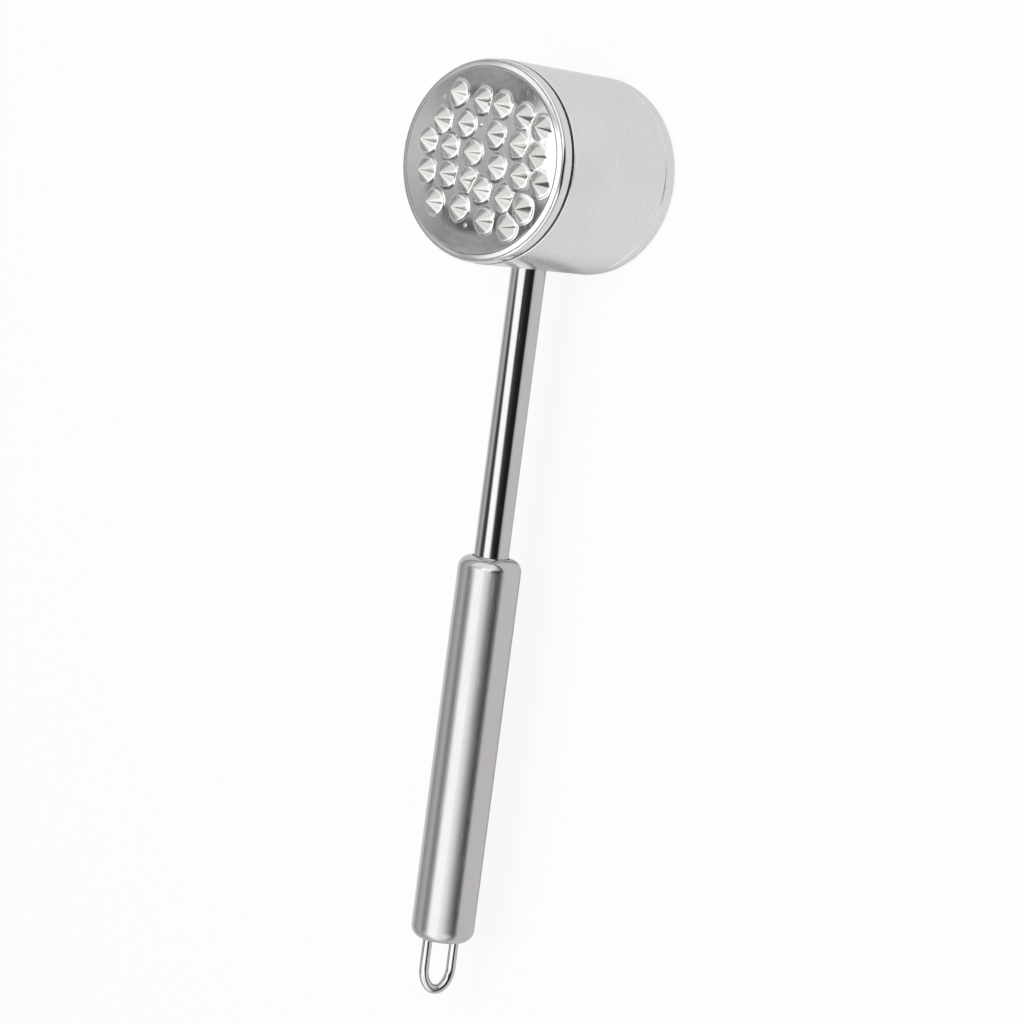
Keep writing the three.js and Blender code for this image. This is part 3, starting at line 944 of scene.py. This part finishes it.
plasticLook = {
    "colour": (0.04, 0.041, 0.042), "smudged": (0.07, 0.07, 0.07),
    "grainScale": 2200.0, "grainDetail": 2.0, "grainRange": (0.3, 0.7), "grainDepth": 0.00003,
    "smoothest": 0.5, "roughest": 0.7,
}


def sleevePlastic(look):
    material, tree = startMaterial("sleevePlastic")
    place = addNode(tree, "ShaderNodeTexCoord").outputs["Object"]
    marks = addNode(tree, "ShaderNodeGroup", node_tree=handling)
    tree.links.new(place, marks.inputs["Vector"])
    grain = noiseNode(tree, place, Scale=look["grainScale"], Detail=look["grainDetail"])
    colour = mixColour(tree, marks.outputs["Smudge"], look["colour"], look["smudged"])
    bump = addNode(tree, "ShaderNodeBump", {
        "Strength": 1.0, "Distance": look["grainDepth"], "Height": grain})
    rough = rangeNode(tree, grain, *look["grainRange"], look["smoothest"], look["roughest"])
    shader = addNode(tree, "ShaderNodeBsdfPrincipled", {
        "Base Color": colour, "Roughness": rough, "Normal": bump.outputs[0]})
    showOn(tree, shader)
    return material


for nodeName, material in (
    # the backing disc's near-black steel is painted shade in that seam
    ("backing_disc", gapShadeSteel),
    ("stem_pin", turnedSteel),
    ("head_core", castAluminium(castLook)),
    ("stem_sleeve", sleevePlastic(plasticLook)),
):
    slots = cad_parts[nodeName].data.materials
    slots.clear()
    slots.append(material)
print("inner pieces dressed")


studio = {
    "floorSize": 12.0,
    "floorDrop": 0.0004,
    "floorColour": (0.77, 0.757, 0.752, 1),
    "floorGlow": 0.9,  # share of its own white in what the camera sees
    "mirrorGlow": 0.0,  # and in what the metal shows, near the mallet
    "mirrorNear": (1, 0.965, 0.95), "mirrorFar": (0.5, 0.49, 0.485),  # its colours there
    "mirrorRange": (0.12, 0.5),  # metres towards +Y over which near turns into far
    "lampSize": 0.5,
    "lampPower": 14.5,
    "lampPlace": (0.1, -0.3, 1.6),
    "roomShare": 0.5,  # share of the matt floor's light that comes from the room, not the lamp
}
# the room that the metal shows; angles are in degrees about X, from +Y over the top to -Y, and
# across is the share of a direction that points along X
roomParts = {
    "backLow": 0.4, "backHigh": 0.68, "backTop": 32,  # pale back wall
    "stripTone": 0.08, "stripFrom": 31, "stripTo": 53,  # dark gap between the wall and the light
    "doorTone": 0.55, "doorFrom": -0.032, "doorTo": -0.014,  # a pale door in that gap
    "doorEnd": 0.08, "doorSoft": 0.05,
    "lightTone": 1.68, "lightLow": 67.5, "lightHigh": 104.5, "lightSoft": 14,  # soft light overhead
    "skewFrom": -0.11, "skewMiddle": -0.055, "skewTo": 0.0, "skewSlope": 165,  # it hangs askew
    "skewFade": (0.13, 0.24),  # and is level further out
    "riseFade": (0.13, 0.2), "rightRise": 9,  # it ends higher on the right
    "lightFade": (0.2, 0.34),  # and fades out there
    "frontTone": 1.85, "frontFrom": 130, "frontTo": 176, "frontLow": 0.12,  # bright front wall
    "frontFade": (90, 104),
    "shapeTop": 108, "shapeTone": 0.09, "shapeLow": 0.02,  # the dark camera side in front of it
    "shapeAbove": 8, "shapeBelow": 4,  # its top fades in between these
    "shapeLeftTop": -0.12, "shapeLeftLow": -0.42, "shapeLeftSoft": 0.09,
    "shapeRightTop": 0.06, "shapeRightLow": 0.36, "shapeRightSoft": 0.04,
    "shapeRightFrom": 125, "shapeEnd": 145,
    "windowTone": 0.62,  # dim windows to the left and right in the dark gap
    "windowOpen": (-0.34, -0.29), "windowClose": (-0.23, -0.2), "windowRight": (0.2, 0.27),
    "sideFrom": 0.36, "sideTo": 0.5, "sideTone": 1.2,  # pale walls to the left and right
    "sideRise": (40, 56), "sideFall": (125, 165),
    "glowTone": 0.9, "glowFrom": 164, "glowTo": 180,  # floor's far edge, seen under the camera
    "glowLeft": -0.11, "glowOutside": 0.04, "glowInside": 0.02,
    "glowRight": 0.08, "glowEnd": 0.16,
}


def makeWorld():
    world = bpy.data.worlds.new("studioRoom")
    scene.world = world
    world.use_nodes = True
    tree = world.node_tree
    tree.nodes.clear()
    part = roomParts
    direction = addNode(tree, "ShaderNodeTexCoord").outputs["Generated"]
    parts = addNode(tree, "ShaderNodeSeparateXYZ", {0: direction}).outputs
    across = parts["X"]
    angle = mathNode(tree, "DEGREES", mathNode(tree, "ARCTAN2", parts["Z"], parts["Y"]))

    def fade(value, low, high):
        return rangeNode(tree, value, low, high, smooth=True)

    def blend(share, first, second):
        return rangeNode(tree, share, 0.0, 1.0, first, second)

    def both(first, second):
        return mathNode(tree, "MULTIPLY", first, second)

    def without(value):
        return mathNode(tree, "SUBTRACT", 1.0, value)

    # back wall, dark gap and the pale door in it
    tone = rangeNode(tree, angle, 0, part["backTop"], part["backLow"], part["backHigh"])
    door = both(fade(across, part["doorFrom"], part["doorTo"]),
                without(fade(across, part["doorEnd"], part["doorEnd"] + part["doorSoft"])))
    gap = blend(door, part["stripTone"], part["doorTone"])
    window = both(fade(across, *part["windowOpen"]), without(fade(across, *part["windowClose"])))
    window = mathNode(tree, "MAXIMUM", window, fade(across, *part["windowRight"]))
    gap = blend(window, gap, part["windowTone"])
    tone = blend(fade(angle, part["stripFrom"], part["stripTo"]), tone, gap)
    # front wall, fading downwards, and the dark shape before it
    front = rangeNode(tree, angle, part["frontFrom"], part["frontTo"],
                      part["frontTone"], part["frontLow"])
    tone = blend(fade(angle, *part["frontFade"]), tone, front)
    full = part["shapeTop"] + part["shapeBelow"]
    left = rangeNode(tree, angle, full, part["frontTo"],
                     part["shapeLeftTop"], part["shapeLeftLow"])
    right = rangeNode(tree, angle, part["shapeRightFrom"], part["shapeEnd"],
                      part["shapeRightTop"], part["shapeRightLow"])
    soft = part["shapeLeftSoft"]
    inside = fade(mathNode(tree, "SUBTRACT", across, left), -soft, soft)
    soft = part["shapeRightSoft"]
    beyond = fade(mathNode(tree, "SUBTRACT", across, right), -soft, soft)
    inside = both(inside, without(beyond))
    inside = both(inside, fade(angle, part["shapeTop"] - part["shapeAbove"], full))
    dark = rangeNode(tree, angle, part["shapeTop"], part["shapeEnd"],
                     part["shapeTone"], part["shapeLow"])
    tone = blend(inside, tone, dark)
    # pale side walls
    side = fade(mathNode(tree, "ABSOLUTE", across), part["sideFrom"], part["sideTo"])
    side = both(side, both(fade(angle, *part["sideRise"]), without(fade(angle, *part["sideFall"]))))
    tone = blend(side, tone, part["sideTone"])
    # soft light overhead; its edges run askew across X
    middle, slope = part["skewMiddle"], -part["skewSlope"]
    skewFrom, skewTo = part["skewFrom"], part["skewTo"]
    skew = rangeNode(tree, across, skewFrom, skewTo,
                     (skewFrom - middle) * slope, (skewTo - middle) * slope)
    level = fade(mathNode(tree, "ABSOLUTE", across), *part["skewFade"])
    moved = mathNode(tree, "SUBTRACT", angle, both(skew, without(level)))
    rise = both(fade(across, *part["riseFade"]), part["rightRise"])
    moved = mathNode(tree, "SUBTRACT", moved, rise)
    half = part["lightSoft"] / 2
    light = both(fade(moved, part["lightLow"] - half, part["lightLow"] + half),
                 without(fade(moved, part["lightHigh"] - half, part["lightHigh"] + half)))
    light = both(light, without(fade(across, *part["lightFade"])))
    tone = blend(light, tone, part["lightTone"])
    # glow of the floor's edge below the dark shape
    outside, within = part["glowLeft"] - part["glowOutside"], part["glowLeft"] + part["glowInside"]
    glow = both(fade(across, outside, within),
                without(fade(across, part["glowRight"], part["glowEnd"])))
    glow = both(glow, fade(angle, part["glowFrom"], part["glowTo"]))
    tone = blend(glow, tone, part["glowTone"])
    rays = addNode(tree, "ShaderNodeLightPath").outputs
    strength = rangeNode(tree, rays["Is Diffuse Ray"], 0.0, 1.0, 1.0, studio["roomShare"])
    lit = addNode(tree, "ShaderNodeBackground", {"Color": tone, "Strength": strength})
    white = addNode(tree, "ShaderNodeBackground", {"Color": (1, 1, 1, 1), "Strength": 1.0})
    shown = addNode(tree, "ShaderNodeMixShader", {
        0: rays["Is Camera Ray"], 1: lit.outputs[0], 2: white.outputs[0]})
    output = addNode(tree, "ShaderNodeOutputWorld")
    tree.links.new(shown.outputs[0], output.inputs["Surface"])


def makeFloor():
    half = studio["floorSize"] / 2
    drop = -studio["floorDrop"]
    corners = [(-half, -half, drop), (half, -half, drop), (half, half, drop), (-half, half, drop)]
    material, tree = startMaterial("paleFloor")
    path = addNode(tree, "ShaderNodeLightPath").outputs
    matt = addNode(tree, "ShaderNodeBsdfDiffuse", {"Color": studio["floorColour"]})
    mirrored = mathNode(tree, "MAXIMUM", path["Is Glossy Ray"], path["Is Transmission Ray"])
    place = addNode(tree, "ShaderNodeTexCoord").outputs["Object"]
    away = addNode(tree, "ShaderNodeSeparateXYZ", {0: place}).outputs["Y"]
    far = rangeNode(tree, away, *studio["mirrorRange"], smooth=True)
    shown = mixColour(tree, far, studio["mirrorNear"], studio["mirrorFar"])
    colour = mixColour(tree, mirrored, (1, 1, 1), shown)
    glow = addNode(tree, "ShaderNodeEmission", {"Color": colour, "Strength": 1.0})
    direct = mathNode(tree, "MULTIPLY", path["Is Camera Ray"], studio["floorGlow"])
    ownGlow = rangeNode(tree, far, 0.0, 1.0, studio["mirrorGlow"], 1.0)
    share = mathNode(tree, "MULTIPLY_ADD", mirrored, ownGlow, direct, clamp=True)
    mix = addNode(tree, "ShaderNodeMixShader", {0: share, 1: matt.outputs[0], 2: glow.outputs[0]})
    showOn(tree, mix)
    floor = bpy.data.objects.new("floor", meshFrom("floor", corners, [(0, 1, 2, 3)]))
    floor.data.materials.append(material)
    scene.collection.objects.link(floor)


def makeLamp():
    light = bpy.data.lights.new("softLamp", "AREA")
    light.shape = "SQUARE"
    light.size = studio["lampSize"]
    light.energy = studio["lampPower"]
    lamp = bpy.data.objects.new("softLamp", light)
    scene.collection.objects.link(lamp)
    lamp.location = studio["lampPlace"]
    lamp.rotation_euler = (-Vector(studio["lampPlace"])).to_track_quat("-Z", "Y").to_euler()
    lamp.visible_glossy = False
    lamp.visible_camera = False


# the camera that was fitted to the photograph
view = {
    "sensor": 36,
    "lens": 113.98,
    "place": (-0.00704, -0.60969, 0.85469),
    "right": (0.12934, -0.79299, -0.59535),
    "up": (0.98668, 0.16268, -0.00232),
}


def makeCamera():
    data = bpy.data.cameras.new("camera")
    data.sensor_width = view["sensor"]
    data.lens = view["lens"]
    camera = bpy.data.objects.new("camera", data)
    scene.collection.objects.link(camera)
    right, up = Vector(view["right"]), Vector(view["up"])
    back = right.cross(up)
    turn = Matrix((right, up, back)).transposed().to_4x4()
    camera.matrix_world = Matrix.Translation(view["place"]) @ turn
    scene.camera = camera


makeWorld()
makeFloor()
makeLamp()
makeCamera()
print("studio ready")
